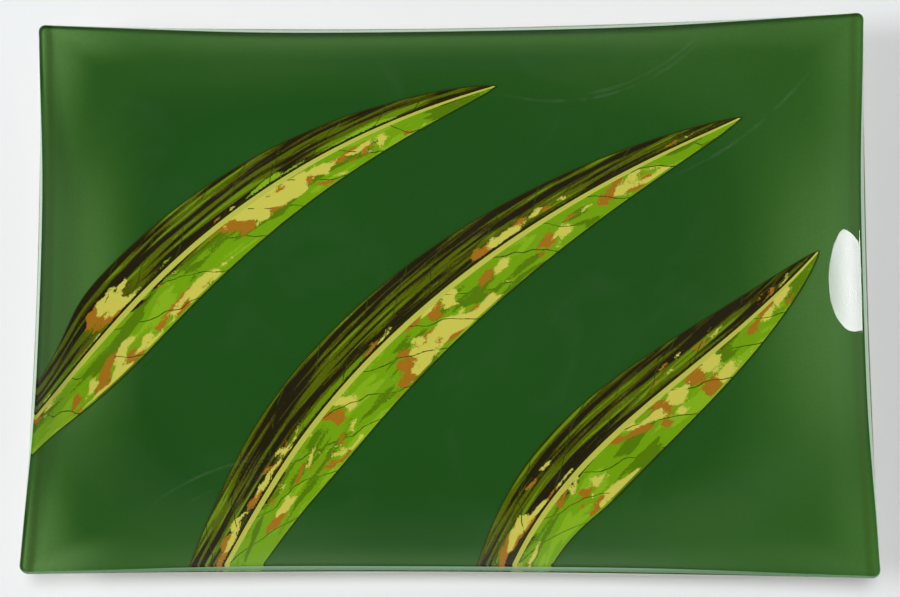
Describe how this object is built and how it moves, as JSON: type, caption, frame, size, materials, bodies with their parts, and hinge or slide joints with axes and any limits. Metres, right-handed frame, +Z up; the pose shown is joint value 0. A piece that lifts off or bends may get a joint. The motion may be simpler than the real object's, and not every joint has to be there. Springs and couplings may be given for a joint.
{
  "type": "platter",
  "caption": "Rectangular slumped glass platter with raised corners, a green leaf picture under the glass and four bumper feet",
  "frame": {"origin": "Centre of the plate, on the surface that its feet stand on", "axes": "+X along the plate's length, +Y across it, +Z up out of the dish"},
  "size_m": [0.3812, 0.2538, 0.0301],
  "materials": {
    "clear_glass": "polished",
    "leaf_paper": "printed, satin",
    "ground_paper": "printed, satin",
    "backing_paper": "sealed, matte",
    "foot_rubber": "clear, soft"
  },
  "bodies": {
    "root": {"glass_plate": "clear_glass", "leaf_left": "leaf_paper", "leaf_middle": "leaf_paper", "leaf_right": "leaf_paper", "ground_sheet": "ground_paper", "backing_sheet": "backing_paper", "foot_front_left": "foot_rubber", "foot_front_right": "foot_rubber", "foot_back_left": "foot_rubber", "foot_back_right": "foot_rubber"}
  },
  "joints": []
}
